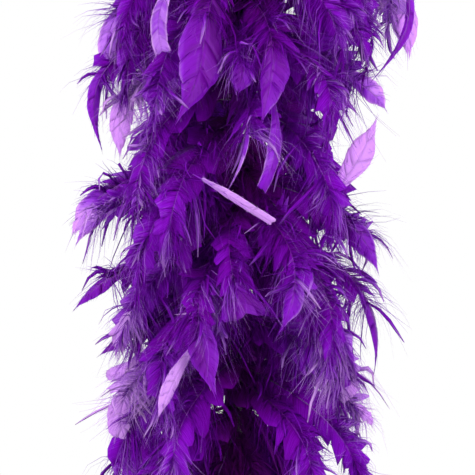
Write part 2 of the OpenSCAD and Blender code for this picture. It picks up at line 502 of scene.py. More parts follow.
def twisted_yarn(name, base, strand_mm, rough, fuzz):
    """Spun yarn: slanting strands with painted shade in the grooves between them, a dull soft surface and a
    short fuzz. strand_mm is the width of one strand."""
    material, tree = new_material(name)
    uv = add_node(tree, "ShaderNodeUVMap", uv_map="barbs")
    slanted = add_node(tree, "ShaderNodeMapping", {
        "Vector": uv.outputs["UV"], "Scale": (1 / strand_mm, 3.0, 1)})
    wave = add_node(tree, "ShaderNodeTexWave", {"Vector": slanted.outputs["Vector"], "Scale": 0.16,
                                                "Distortion": 0.8, "Detail": 1.0},
                    wave_type="BANDS", bands_direction="DIAGONAL")
    # painted shade: a darker copy of the yarn's colour in the low grooves of the wave
    groove_shade = [c * 0.45 for c in base]
    colour = colour_ramp(tree, wave.outputs["Fac"], [(0.1, groove_shade), (0.9, base)])
    bump = add_node(tree, "ShaderNodeBump", {"Height": wave.outputs["Fac"], "Strength": 0.7,
                                             "Distance": 0.25 * strand_mm * MM})
    cloth = add_node(tree, "ShaderNodeBsdfPrincipled", {
        "Base Color": colour, "Roughness": rough, "Sheen Weight": fuzz, "Normal": bump.outputs["Normal"]})
    add_node(tree, "ShaderNodeOutputMaterial", {"Surface": cloth.outputs["BSDF"]})
    return material


def dyed_cotton_ply(colours):
    """Cotton ply, mercerised and dyed with the feathers; its yarns are about half a millimetre wide."""
    return twisted_yarn("dyed_cotton_ply", colours.cotton, 0.5, 0.8, 0.4)


def sewing_thread(colours):
    """Spun polyester thread, finer and a little glossier than the plies."""
    return twisted_yarn("spun_polyester_thread", colours.thread, 0.2, 0.55, 0.2)


def studio_paper(colours):
    """Matte seamless paper: no gloss, and a faint grain a few millimetres across."""
    material, tree = new_material("matte_studio_paper")
    place = add_node(tree, "ShaderNodeTexCoord")
    grain = add_node(tree, "ShaderNodeTexNoise", {
        "Vector": place.outputs["Object"], "Scale": 300.0, "Detail": 2.0})
    darker = [c * 0.97 for c in colours.paper]
    colour = colour_ramp(tree, grain.outputs["Fac"], [(0.3, darker), (0.7, colours.paper)])
    paper = add_node(tree, "ShaderNodeBsdfPrincipled", {"Base Color": colour, "Roughness": 0.9})
    add_node(tree, "ShaderNodeOutputMaterial", {"Surface": paper.outputs["BSDF"]})
    return material


MADE = {}


def material_of(maker, settings):
    """The maker's material, made once."""
    if maker not in MADE:
        MADE[maker] = maker(settings)
    return MADE[maker]


# ---------------------------------------------------------------- feathers

# A placed feather's other measures, where it doesn't give its own. Angles are in degrees. The vane begins at
# start, cut squares its end off, fade lightens it towards the tip and hook bends its last quarter, in
# millimetres. A bare feather has down at its foot only.
PLAIN = {"roll": 0, "folds": (10, 10), "point": 0.2, "tone": 0.5, "start": 0.5, "frayed": 0.15,
         "cut": 0.0, "fade": 0.0, "hook": (0, 0, 0), "bare": 0.0}


def placed(root, mid, tip, width, **looks):
    """One listed feather, in millimetres from the view's middle: X right, Y away, Z up. root is its
    quill's height, and mid and tip are where its rachis is halfway and at its end."""
    return {**PLAIN, "root": root, "mid": mid, "tip": tip, "width": width, **looks}


def plume(root, mid, tip, width, roll=0, tone=0.52):
    """A listed feather that is downy nearly to its tip."""
    return placed(root, mid, tip, width * 0.4, roll=roll, folds=(10, 12), tone=tone, start=0.9, frayed=0.9)


def backing(root, mid, tip):
    """A darker plume behind the cord, which closes a gap between the others."""
    return plume(root, mid, tip, 20, tone=0.46)


PLACED = [
    placed(150, (-13, -50, 112), (-19, -64, 57), 26, roll=-10, folds=(25, -5), point=0.9, tone=0.39,
           start=0.42, hook=(-9, 0, 0)),
    placed(152, (-32, -48, 122), (-36, -60, 89), 9, roll=10, folds=(5, 5), point=0, tone=0.62, cut=1,
           bare=1),
    placed(15, (-21, -58, 30), (16, -70, 7), 6.5, roll=48, folds=(5, 0), point=0, tone=0.74, cut=1,
           start=0.68, bare=1),
    placed(122, (16, -48, 98), (12, -62, 57), 15, roll=20, folds=(35, 0), point=0.7, tone=0.40, start=0.45),
    placed(112, (4, -46, 92), (1, -56, 72), 12, roll=-10, folds=(15, 10), point=0.3, tone=0.46, start=0.6),
    placed(108, (18, -52, 62), (12, -62, 23), 8, roll=-20, folds=(10, 20), point=0.3, tone=0.50, cut=1,
           bare=1),
    placed(84, (5, -54, 52), (-5, -62, 22), 3.5, roll=50, folds=(0, 0), point=0.8, tone=0.60, start=0.4),
    placed(0, (42, -24, 18), (68, -18, 57), 16, roll=10, folds=(-5, 15), point=0.8, tone=1.1, start=0.6,
           bare=1),
    placed(156, (80, -15, 130), (66, -20, 77), 7, roll=20, point=0.8, tone=0.36, bare=1),
    placed(154, (64, -14, 136), (85, -10, 93), 20, roll=5, folds=(10, 20), point=0.1, tone=1.1,
           start=0.74, bare=1),
    placed(30, (46, -24, 14), (69, -20, -16), 13, roll=-15, folds=(15, 30), point=0.85, tone=0.42,
           fade=0.2),
    placed(12, (56, -24, -20), (67, -20, -68), 6.5, roll=-25, folds=(45, 20), point=0.9, tone=0.36),
    placed(40, (-54, -22, 28), (-80, -18, 4), 15, roll=15, folds=(25, 25), point=0.3, tone=0.42,
           fade=0.7, frayed=0.3),
    placed(28, (-52, -28, 18), (-79, -24, -3), 8, roll=-15, point=0.8, tone=0.60, start=0.6),
    placed(2, (-52, -16, -14), (-81, -12, -36), 8, roll=30, folds=(30, 20), point=1.0, tone=0.36),
    placed(4, (-40, -34, -20), (-58, -30, -54), 22, roll=10, folds=(10, 15), point=0.5, tone=0.78,
           start=0.8, frayed=0.9),
    placed(-16, (-44, -26, -42), (-68, -22, -58), 6, roll=20, point=1.0, tone=0.38),
    placed(-32, (-45, -28, -57), (-64, -22, -66), 10, roll=50, point=0.2, tone=1.05, start=0.55, bare=1),
    placed(-26, (-22, -54, -54), (-37, -64, -84), 10, roll=-35, folds=(10, 0), point=0.3, tone=1.15,
           bare=1),
    placed(4, (-18, -56, -26), (-11, -66, -73), 16, roll=8, folds=(12, -10), point=0.5, tone=0.38,
           start=0.6),
    placed(-34, (-50, -32, -70), (-52, -34, -102), 14, roll=-12, folds=(8, 15), point=0.1, tone=1.0,
           frayed=0.3),
    placed(22, (26, -52, -8), (20, -64, -45), 11, roll=15, folds=(18, 18), point=0.9, tone=0.46, start=0.6),
    placed(14, (-4, -50, -6), (4, -64, -36), 24, roll=-8, folds=(10, 10), tone=0.39, start=0.72, cut=1),
    placed(-36, (45, -34, -58), (51, -32, -80), 11, roll=12, point=0.2, tone=0.95, start=0.6),
    placed(-44, (46, -26, -74), (66, -20, -92), 10, roll=25, point=0.6, tone=0.9, start=0.6, frayed=0.9),
    placed(112, (50, -18, 84), (73, -12, 64), 12, roll=15, folds=(15, 15), point=1.0, tone=0.60),
    placed(96, (36, -22, 80), (60, -18, 60), 7, roll=-20, point=1.0, tone=0.36),
    placed(18, (46, -12, 8), (65, -10, 3), 6, roll=30, point=0.2, tone=0.8, start=0.78),
    placed(140, (-52, -22, 118), (-64, -20, 80), 13, roll=20, folds=(20, 10), point=0.3, tone=0.62),
    placed(110, (-60, -22, 88), (-67, -20, 44), 8, roll=-10, folds=(30, 10), point=0.7, tone=0.40),
    placed(96, (-46, -20, 78), (-58, -18, 42), 14, roll=10, point=0.1, tone=1.15, start=0.55, frayed=0.4),
    plume(84, (-38, -44, 52), (-48, -48, 8), 22, roll=12),
    plume(50, (-36, -46, 14), (-48, -44, -28), 22, roll=-8),
    plume(120, (-30, -46, 96), (-40, -50, 52), 20, roll=15),
    plume(60, (-26, -52, 28), (-32, -60, -10), 20, roll=-15, tone=0.48),
    plume(72, (36, -44, 40), (46, -44, 0), 20, roll=8),
    plume(20, (40, -42, -20), (42, -48, -62), 20, roll=-10),
    plume(-10, (42, -38, -40), (48, -38, -78), 18, roll=18),
    plume(110, (38, -40, 84), (44, -46, 46), 18, roll=-15),
    plume(150, (34, -36, 124), (52, -34, 88), 19, roll=10),
    plume(158, (46, -24, 136), (66, -24, 98), 22, roll=-12),
    plume(144, (44, -28, 118), (64, -26, 84), 20, roll=14),
    plume(154, (-40, -30, 132), (-58, -30, 92), 22, roll=10),
    plume(132, (-42, -28, 108), (-54, -28, 70), 20, roll=-10),
    plume(-20, (-34, -46, -50), (-30, -56, -88), 20, roll=-10),
    plume(-60, (-26, -50, -88), (-30, -58, -122), 21, roll=10),
    plume(-58, (-46, -32, -84), (-58, -30, -120), 22, roll=-10),
    plume(-86, (-40, -44, -112), (-48, -46, -144), 22, roll=12),
    plume(-64, (44, -32, -90), (60, -28, -124), 22, roll=10),
    plume(-70, (30, -46, -96), (34, -54, -128), 19, roll=-12),
    backing(132, (34, 12, 122), (40, 20, 82)),
    backing(98, (-12, 34, 80), (-14, 40, 42)),
    backing(88, (24, 14, 68), (32, 23, 26)),
    backing(66, (34, 11, 42), (40, 19, 4)),
    backing(78, (-26, 14, 60), (-34, 22, 18)),
    backing(0, (20, 32, -22), (26, 38, -62)),
    backing(-60, (-40, 10, -84), (-48, 17, -126)),
    backing(-72, (22, 14, -92), (28, 23, -134)),
    backing(40, (-14, 14, 22), (-18, 23, -14)),
    backing(36, (6, 15, 14), (8, 24, -22)),
    backing(-34, (0, 15, -56), (2, 24, -92)),
    backing(-2, (-28, 13, -20), (-36, 20, -58)),
    backing(-92, (-14, 34, -108), (-18, 40, -142)),
    plume(158, (62, -14, 136), (74, -12, 104), 17, roll=8, tone=0.8),
]


def quill_heights():
    return FEATHERS_TOP - (np.arange(QUILLS) + FIRST_QUILL_SHARE) * PITCH


def comb_apart(azimuth, height, amount):
    """Turns feathers that would hang in front of the cord to either side, most at the view's middle. A
    feather within 52 degrees of the camera's side moves towards that angle by the amount, which fades above
    and below."""
    from_front = (azimuth + math.pi / 2 + math.pi) % (2 * math.pi) - math.pi
    near = smooth((NEAR_TOP + 0.02 - height) / 0.05) * smooth((height - NEAR_END + 0.02) / 0.05)
    inside = np.abs(from_front) < COMB_EDGE
    sign = np.where(from_front >= 0, 1.0, -1.0)
    pushed = sign * (np.abs(from_front) + (COMB_EDGE - np.abs(from_front)) * amount * near)
    return np.where(inside, pushed, from_front) - math.pi / 2


def grown(settings):
    """Every feather's rachis and frames, with its vane's measures.

    A rachis starts level with its quill at a set slope and turns steadily to a steeper one: its direction
    at share u of its length has elevation e0 + (e1 - e0) u^1.3 and an azimuth that drifts by u^2, and the
    rachis is the running sum of those directions. Strays stand out of the boa, but none near the view's
    middle, where all feathers hang a little steeper."""
    rng = np.random.default_rng(settings.seed)
    n = np.arange(QUILLS)
    z = quill_heights()
    u = np.linspace(0, 1, RACHIS_POINTS)
    length = settings.length + settings.length_spread * np.sin(n * LENGTH_WANDER)
    width = settings.width + settings.width_spread * np.cos(n * WIDTH_WANDER)
    azimuth = comb_apart(n * GOLDEN_ANGLE + rng.normal(0, 0.14, QUILLS), z, settings.parting)
    start = np.radians(rng.uniform(*START_SLOPES, QUILLS))
    end = np.radians(rng.uniform(*END_SLOPES, QUILLS))
    stray = (rng.random(QUILLS) < STRAY_SHARE) & (np.abs(z - VIEW_Z) > STRETCH)
    start = np.where(stray, np.radians(rng.uniform(*STRAY_STARTS, QUILLS)), start)
    end = np.where(stray, start + np.radians(rng.uniform(*STRAY_TURNS, QUILLS)), end)
    length = np.where(stray, length * rng.uniform(0.70, 0.85, QUILLS), length)
    settled = SETTLED * smooth((1.3 * STRETCH - np.abs(z - VIEW_Z)) / (0.4 * STRETCH))
    start, end = start - settled, end - settled
    drift = rng.normal(0, math.radians(14), QUILLS)
    e = start[:, None] + (end - start)[:, None] * u ** 1.3
    a = azimuth[:, None] + drift[:, None] * u ** 2
    step = np.stack([np.cos(a) * np.cos(e), np.sin(a) * np.cos(e), np.sin(e)], axis=-1)
    between = (step[:, 1:] + step[:, :-1]) / 2 * (length / (RACHIS_POINTS - 1))[:, None, None]
    path = np.concatenate([np.zeros((QUILLS, 1, 3)), np.cumsum(between, axis=1)], axis=1)
    path[..., 2] += z[:, None]
    side = np.stack([-np.sin(azimuth), np.cos(azimuth), np.zeros(QUILLS)], axis=-1)
    f = {"n": n, "z": z, "length": length, "width": width,
         "roll": rng.normal(0, math.radians(26), QUILLS), "twist": rng.normal(0, math.radians(22), QUILLS),
         "fold": np.radians(np.clip(rng.normal(18, 24, (QUILLS, 2)), -25, 52)),
         "point": rng.choice([0.0, 0.15, 0.35, 0.8], QUILLS, p=[0.35, 0.3, 0.25, 0.10]),
         "tone": np.clip(rng.normal(0.52, 0.13, QUILLS), 0.25, 0.95),
         "cut": (rng.random(QUILLS) < 0.35).astype(float), "fade": rng.normal(0.1, 0.15, QUILLS),
         "slant": rng.uniform(-0.5, 0.5, QUILLS), "bare": np.zeros(QUILLS),
         "start": rng.uniform(0.54, 0.72, QUILLS),
         "frayed": rng.choice([0.1, 0.3, 0.8], QUILLS, p=[0.5, 0.3, 0.2])}
    downy = rng.random(QUILLS) < settings.plume_share
    f["start"] = np.where(downy, rng.uniform(0.84, 0.93, QUILLS), f["start"])
    f["frayed"] = np.where(downy, 0.9, f["frayed"])
    f["width"] = np.where(downy, f["width"] * 0.4, f["width"])
    f["cut"] = np.where(f["frayed"] > 0.2, 0.0, f["cut"])
    place_by_hand(f, path, side, u)
    tangent, side, normal = frames_of(path, side[:, None])
    angle = f["roll"][:, None] + f["twist"][:, None] * (u - 0.6)
    side, normal = turned(side, normal, angle)
    f.update(path=path, tangent=tangent, side=side, normal=normal)
    return f


def place_by_hand(f, path, side, u):
    """Gives each listed feather to the free quill nearest its height. Its rachis is the one parabola
    through the quill, its middle and its tip."""
    taken = set()
    for p in PLACED:
        root_z = VIEW_Z + p["root"] * MM
        order = np.argsort(np.abs(f["z"] - root_z))
        i = int(next(k for k in order if int(k) not in taken))
        taken.add(i)
        root = np.array([0, 0, f["z"][i]])
        mid = np.array(p["mid"]) * MM + [0, 0, VIEW_Z]
        tip = np.array(p["tip"]) * MM + [0, 0, VIEW_Z]
        w = u[:, None]
        path[i] = (2 * w * w - 3 * w + 1) * root + (4 * w - 4 * w * w) * mid + (2 * w * w - w) * tip
        path[i] += np.array(p["hook"]) * MM * (np.maximum(w - 0.75, 0) / 0.25) ** 2
        side[i] = unit(np.cross(tip - mid, -TO_CAMERA))
        f["length"][i] = np.linalg.norm(np.diff(path[i], axis=0), axis=1).sum()
        f["width"][i] = p["width"] * MM
        f["roll"][i] = math.radians(p["roll"])
        f["twist"][i] = 0.0
        f["fold"][i] = np.radians(p["folds"])
        for key in ("point", "tone", "start", "frayed", "cut", "fade", "bare"):
            f[key][i] = p[key]


def some_of(f, which):
    return {key: value[which] for key, value in f.items()}


def at(f, index, u):
    """Place, tangent, side and normal of feather index at share u of its rachis, between the nearest
    samples."""
    last = f["path"].shape[1] - 1
    x = np.clip(u, 0, 1) * last
    low = np.minimum(x.astype(int), last - 1)
    share = (x - low)[..., None]
    return [mix(f[key][index, low], f[key][index, low + 1], share)
            for key in ("path", "tangent", "side", "normal")]


def painted_shade_and_light(points, least=PAINTED_CORD_SHADE):
    """Painted shade and light on the tone: a factor least at the cord, painted shade where the boa shades
    itself, 1 at 50 mm out, and more again at thin outer tips, painted light that glows through them."""
    r = np.hypot(points[..., 0], points[..., 1]) / MM
    # painted shade towards the cord, and painted light past 46 mm out
    return mix(least, 1.0, smooth(r / 50)) + 0.38 * smooth((r - 46) / 38)


def vane_width(f, index, u):
    """Half the vane's width at share u of the rachis: it swells over its first two fifths, then
    keeps its width on a blunt feather or narrows by its point."""
    v = (u - f["start"][index]) / (1 - f["start"][index])
    swell = 0.40 + 0.60 * smooth((v + 0.1) / 0.5)
    return f["width"][index] / 2 * swell * (1 - 0.80 * f["point"][index] * smooth((v - 0.35) / 0.65))


def on_vane(f, index, sign, u, t, half, shape):
    """A point of a vane or web. From the rachis at share u a barb leaves at 58 degrees, an angle that
    closes to 6 at the tip, and curves forward by t^2. A cut feather's barbs all stop at a slanting line.
    Barbs lean to the middle of their lobe by the shape's pull. Each side folds off the rachis's plane by
    the tangent of its fold and droops by camber, and each lobe has its own lift."""
    place, tangent, side, normal = at(f, index, u)
    cut = f["cut"][index]
    closing = smooth((u - 0.78) / 0.22) * (1 - cut)
    angle = mix(BARB_ANGLE, math.radians(6.0), closing)
    barb = half / math.sin(BARB_ANGLE) * mix(1.0, mix(0.42, 1.05, f["point"][index]), closing)
    x = barb * np.sin(angle) * t * (1.06 - 0.12 * t)
    leaning = shape["pull"] * (shape["middle"] - u) * f["length"][index] * t * t
    y = barb * (np.cos(angle) * t + 0.25 * t * t) + leaning
    rounding = 0.35 * half * (1 - (x / np.maximum(half, 1e-6)) ** 2)
    end = (1 - u) * f["length"][index] + rounding + sign * x * f["slant"][index]
    y = mix(y, np.minimum(y, end), cut)
    fold = np.where(sign > 0, f["fold"][index][..., 0], f["fold"][index][..., 1])
    z = -x * np.tan(fold) - shape["camber"] * x * x / np.maximum(half, 1e-6) + shape["lift"] * barb * t * t
    return place + (sign * x)[..., None] * side + y[..., None] * tangent + z[..., None] * normal


def atlas_of(f, index, across, along):
    """A feather's own cell of the OFBake map: across is from -1 to 1, along from 0 to 1."""
    return np.stack([(f["n"][index] + 0.5 + 0.44 * across) / GROUP_QUILLS, 0.02 + 0.96 * along], axis=-1)


def vanes(f, settings, rng, lobes, columns, rows, downy=False, tufted=0.2, reach=1.0, beyond=1.0):
    """Vanes as thin closed lobes: a grid of on_vane's points on each face, barbs by steps outwards, with a
    rim between the faces. The downy web is the same surface from the quill up, ragged and drooping. It is
    reach times as wide as the setting at the cord and beyond times that further out, its lobes are rounded
    by tufted, and the loose down lies over it."""
    count = len(f["n"])
    shape = (count, 2, lobes, columns, rows)
    full = np.zeros(shape)
    index = np.arange(count)[:, None, None, None, None] + np.zeros(shape, int)
    sign = np.array([1.0, -1.0])[None, :, None, None, None] + full
    first, last = f["start"] - 0.05, np.ones(count)
    if downy:
        first, last = np.full(count, 0.02), downy_end(f, 0.06)
    frayed = 0.8 + full if downy else f["frayed"][index]
    cuts = np.linspace(0, 1, lobes + 1)[None, None] + np.zeros((count, 2, 1))
    cuts[..., 1:-1] += rng.uniform(-0.3, 0.3, (count, 2, lobes - 1)) / lobes
    cuts = mix(first[:, None, None], last[:, None, None], cuts)
    low, high = cuts[..., :-1, None, None], cuts[..., 1:, None, None]
    c = np.linspace(0, 1, columns)[None, None, None, :, None]
    t = np.linspace(0, 1, rows)[None, None, None, None, :] + full
    overlap = 0.06 * (high - low)
    u = np.clip(mix(low - overlap, high + overlap, c) + full, 0, 1)
    each = (count, 2, lobes, 1, 1)
    lobe_shape = {"middle": (low + high) / 2 + full, "pull": 0.04 + 0.28 * frayed,
                  "lift": rng.normal(0, 1, each) * (0.015 + (0.4 if downy else 0.24) * frayed),
                  "camber": 0.5 if downy else 0.26}
    ragged = 1 - (0.02 + (0.5 if downy else 0.26) * frayed) * rng.random((count, 2, lobes, columns, 1))
    rounded = 1 - (0.03 + tufted * frayed) * np.abs(2 * c - 1) ** 2.5
    narrowing = mix(1.0, beyond, smooth((u - 0.22) / 0.3))
    web = settings.web * reach * narrowing * mix(1.0, 0.4, smooth((u - 0.65) / 0.35))
    half = web if downy else vane_width(f, index, u)
    half = half * (1 - 0.25 * frayed * rng.random(each))
    points = on_vane(f, index, sign, u, t * rounded * ragged, half, lobe_shape)
    face = unit(np.cross(np.gradient(points, axis=3), np.gradient(points, axis=4))) * sign[..., None]
    thin = settings.vane_t / 2 * (1 - 0.5 * t)
    tone = web_tone(f, index, u, t, points, rng, each)
    if downy:
        tone = down_tone(f["tone"][index]) + 0.05 * (t - 0.5) + rng.normal(0, 0.04, each)
        # painted shade near the cord and painted light far out, on the downy web's tone
        tone = tone * painted_shade_and_light(points)
    barbs = np.stack([u * f["length"][index] / MM, t * half / MM * sign], axis=-1)
    atlas = atlas_of(f, index, sign * (0.04 + 0.94 * t), u)
    half_t = face * thin[..., None]
    return grid_shell(points + half_t, points - half_t, sign, tone, barbs, atlas)


def downy_end(f, past):
    """Where on the rachis the down ends: a little past the vane's start, or near the foot of a bare
    feather."""
    return mix(np.minimum(f["start"] + past, 1.0), 0.26, f["bare"])


def down_tone(own):
    """Down takes the dye more evenly than vanes do, but a pale feather's down is pale too."""
    return mix(0.47, own, 0.35) + 0.5 * np.maximum(own - 0.8, 0)


def web_tone(f, index, u, t, points, rng, each):
    """How light the web is: the feather's own tone, darker at the cord as painted shade, lighter at the edges
    as painted light glowing through the thin web, and varying from lobe to lobe."""
    own = f["tone"][index] + f["fade"][index] * ((u - f["start"][index]) / (1 - f["start"][index]) - 0.3)
    # painted light: a pale band along the vane's edges, for light glowing through the thin web
    rim = 0.26 * smooth((t - 0.70) / 0.30) * (0.3 + own)
    return (own + rng.normal(0, 0.035, each) + rim) * painted_shade_and_light(points) + 0.04 * (u - 0.6)


def grid_shell(upper, lower, sign, tone, barbs, atlas):
    """Closed shells from two grids of points, one above the other, with quads round the rim."""
    columns, rows = upper.shape[-3:-1]
    shells = upper.size // 3 // (columns * rows)
    size = columns * rows
    both = np.concatenate([upper.reshape(shells, size, 3), lower.reshape(shells, size, 3)], axis=1)
    i = np.arange(columns - 1)[:, None] * rows + np.arange(rows - 1)[None, :]
    quad = np.stack([i, i + rows, i + rows + 1, i + 1], axis=-1).reshape(-1, 4)
    edge = np.concatenate([np.arange(columns - 1) * rows, (columns - 1) * rows + np.arange(rows - 1),
                           np.arange(columns - 1, 0, -1) * rows + rows - 1, np.arange(rows - 1, 0, -1)])
    after = np.roll(edge, -1)
    rim = np.stack([edge, edge + size, after + size, after], axis=-1)
    starts = (np.arange(shells) * 2 * size)[:, None, None]
    turned_over = (sign.reshape(shells, -1)[:, 0] < 0)[:, None, None]
    faces = np.concatenate([quad, quad[:, ::-1] + size])[None] + starts
    faces = np.where(turned_over, faces[..., ::-1], faces).reshape(-1, 4)
    rims = rim[None] + starts
    rims = np.where(turned_over, rims[..., ::-1], rims).reshape(-1, 4)

    def twice(values, width):
        """The same values for the upper and the lower grid."""
        values = np.broadcast_to(values, (*upper.shape[:-1], width) if width > 1 else upper.shape[:-1])
        values = values.reshape(shells, size, width)
        return np.concatenate([values, values], axis=1).reshape(-1, width)

    return {"points": both.reshape(-1, 3), "faces": [(faces, False), (rims, True)], "slot": 0,
            "tone": twice(tone, 1)[:, 0], "barbs": twice(barbs, 2), "atlas": twice(atlas, 2)}


def quills(f, settings, rings):
    """Quill and rachis of each feather: a strand from the cord to near the tip, whose radius falls evenly."""
    count = len(f["n"])
    u = np.linspace(0, 0.97, rings)[None] + np.zeros((count, 1))
    index = np.arange(count)[:, None] + np.zeros((count, rings), int)
    place, _, side, _ = at(f, index, u)
    radius = settings.quill_d / 2 * (1 - 0.86 * u ** 0.8)
    tone = mix(0.42, f["tone"][:, None], 0.6) * smooth((u - 0.05) / 0.5)
    barbs = np.stack([u * f["length"][:, None] / MM, np.zeros_like(u)], axis=-1)
    part = strands(place, radius, radius, side[:, :1], tone, barbs, atlas_of(f, index, 0 * u, u))
    part["slot"] = 1
    return part


def lock_plan(f, rng):
    """The locks that each feather's down lies in: where on the rachis each starts, to which side and how it
    slopes, curls and waves. They stand from the quill up to the vane, or to the tip of a plume, closest at
    the cord."""
    shape = (len(f["n"]), LOCKS)
    end = downy_end(f, 0.14)[:, None]
    order = (np.arange(LOCKS) + rng.random(shape)) / LOCKS
    root = 0.02 + (end - 0.02) * order ** 1.2
    curl = unit(rng.normal(0, 1, (*shape, 3))) * rng.uniform(0.1, 0.45, (*shape, 1))
    return {"root": root, "end": end, "sign": np.where(rng.random(shape) < 0.5, 1.0, -1.0),
            "lean": np.radians(rng.uniform(12, 58, shape)) + 0.45 * smooth((root - 0.6) / 0.4),
            "off": rng.normal(0, 0.55, shape), "curl": curl, "phase": rng.uniform(0, 2 * math.pi, shape),
            "reach": rng.uniform(18, 36, shape) * MM * mix(1.0, 0.62, smooth((root - 0.55) / 0.45)),
            "tone": rng.normal(0, 0.06, shape)}


def down(f, plan, rng, each, rings, half_width, loose=1.0, thin=0.3, bulge=0.0):
    """Down that grows in the planned locks. A barb is root + reach (t - 0.4 t^2) way + reach t^2 (0.42 down
    + curl) + a sine across it that grows with t. Barbs of one lock differ by loose. Their width falls by
    smoothstep to a hair; with bulge it first swells, by sin(pi t), as a whole lock does that clings
    together."""
    count = len(f["n"])
    lock = np.arange(each)[None, :] * LOCK_STRIDE % LOCKS + np.zeros((count, 1), int)
    shape = lock.shape

    def shared(key):
        """A lock's value for each of its barbs."""
        values = plan[key]
        return np.take_along_axis(values, lock if values.ndim == 2 else lock[..., None], axis=1)

    index = np.arange(count)[:, None] + np.zeros(shape, int)
    root = np.clip(shared("root") + rng.normal(0, 0.03, shape) * loose, 0.015, plan["end"])
    place, tangent, side, normal = at(f, index, root)
    lean = shared("lean") + rng.normal(0, 0.16, shape) * loose
    off = shared("off") + rng.normal(0, 0.20, shape) * loose
    sign = shared("sign")
    way = unit((sign * np.cos(lean))[..., None] * side + np.sin(lean)[..., None] * tangent
               + off[..., None] * normal)
    length = shared("reach") * rng.uniform(0.65, 1.1, shape)
    curl = shared("curl") + rng.normal(0, 0.07, (*shape, 3)) * loose
    swing = unit(np.cross(way, curl))
    t = np.linspace(0, 1, rings)
    phase = shared("phase") + rng.normal(0, 0.4, shape) * loose
    wave = np.sin(phase[..., None] + 5 * t) - np.sin(phase)[..., None]
    bend = (length[..., None] * t ** 2)[..., None]
    path = (place[:, :, None] + (length[..., None] * t * (1 - 0.4 * t))[..., None] * way[:, :, None]
            + 0.42 * bend * DOWN + bend * curl[:, :, None]
            + (length[..., None] * 0.06 * wave * t)[..., None] * swing[:, :, None])
    profile = 1 - 0.88 * smooth(t)
    profile = mix(profile, 0.25 + 0.75 * np.sin(math.pi * np.clip(t * 0.86 + 0.08, 0, 1)) - 0.18 * t, bulge)
    width = half_width * profile * rng.uniform(0.6, 1.4, (*shape, 1))
    own = down_tone(f["tone"][:, None]) + shared("tone") + rng.normal(0, 0.02, shape) * loose
    # painted shade near the cord and painted light far out
    tone = (own[..., None] + 0.20 * t * t) * painted_shade_and_light(path)
    across = unit(np.cross(way, normal + rng.normal(0, 0.4, (*shape, 3)))).reshape(-1, 1, 3)
    along = (length[..., None] * t / MM)
    uv = np.stack([shared("phase")[..., None] * 40 + 0 * t, along], axis=-1).reshape(-1, rings, 2)
    lane = sign * (0.06 + 0.9 * (lock + 0.5) / LOCKS)
    cell = atlas_of(f, index[..., None] + np.zeros(rings, int), lane[..., None] + 0 * t, t + 0 * along)
    width = width.reshape(-1, rings)
    return strands(path.reshape(-1, rings, 3), width, width * thin, across, tone.reshape(-1, rings), uv,
                   cell.reshape(-1, rings, 2))


def fringe(f, rng, barbs_each, rings, half_width):
    """Barbs that have come unhooked at a vane's edge: they follow the web from halfway out and run a little
    past."""
    count = len(f["n"])
    shape = (count, barbs_each, rings)
    each = (count, barbs_each, 1)
    index = np.arange(count)[:, None, None] + np.zeros(shape, int)
    sign = np.where(rng.random(each) < 0.5, 1.0, -1.0) + np.zeros(shape)
    root = mix(f["start"][:, None, None] - 0.06, 1.0, rng.random(each)) + np.zeros(shape)
    frayed = f["frayed"][:, None, None]
    longest = 1.0 + (0.10 + 0.45 * frayed) * rng.random(each)
    t = mix(0.5, longest, np.linspace(0, 1, rings))
    lobe_shape = {"middle": root + rng.normal(0, 0.05, each), "pull": 0.5, "camber": 0.22,
                  "lift": rng.normal(0, 0.08, each) * (1 + frayed)}
    path = on_vane(f, index, sign, root, t, vane_width(f, index, root), lobe_shape)
    width = half_width * (1 - 0.8 * np.linspace(0, 1, rings) ** 2) + np.zeros(shape)
    # painted shade near the cord, less deep here, and painted light far out
    tone = (f["tone"][:, None, None] + 0.22 * (t - 0.5)) * painted_shade_and_light(path, 0.35)
    across = np.broadcast_to(unit(path[:, :, -1] - path[:, :, 0])[:, :, None], path.shape)
    across = unit(np.cross(across, f["normal"][index[..., 0], -8][:, :, None]))
    uv = np.stack([root * f["length"][:, None, None] / MM, t * 8.0], axis=-1)
    cell = atlas_of(f, index, sign * np.clip(t, 0, 1), root)
    width = width.reshape(-1, rings)
    return strands(path.reshape(-1, rings, 3), width, width * 0.25, across.reshape(-1, rings, 3),
                   tone.reshape(-1, rings), uv.reshape(-1, rings, 2), cell.reshape(-1, rings, 2))


def drawn_in(distance, inner, spare):
    """A distance unchanged up to inner, and beyond it inner + spare tanh((distance - inner) / spare)."""
    return np.where(distance > inner, inner + spare * np.tanh((distance - inner) / spare), distance)


def held_in(part):
    """The part with its points drawn in to the boa's girth, and up from below its tail."""
    xy = part["points"][:, :2]
    r = np.maximum(np.hypot(xy[:, 0], xy[:, 1]), 1e-9)
    xy *= (drawn_in(r, GIRTH, GIRTH_SPARE) / r)[:, None]
    below = FEATHERS_END - part["points"][:, 2]
    part["points"][:, 2] = FEATHERS_END - drawn_in(below, BELOW, BELOW_SPARE)
    return part


def vane_parts(f, plan, settings, rng, detail):
    """The vanes and quills of some feathers, in fewer faces where they are not seen closely. They need no
    plan of locks, but are called as the other parts are."""
    if detail == "close":
        return [vanes(f, settings, rng, lobes=4, columns=5, rows=5), quills(f, settings, rings=12)]
    return [vanes(f, settings, rng, lobes=2, columns=4, rows=4), quills(f, settings, rings=7)]


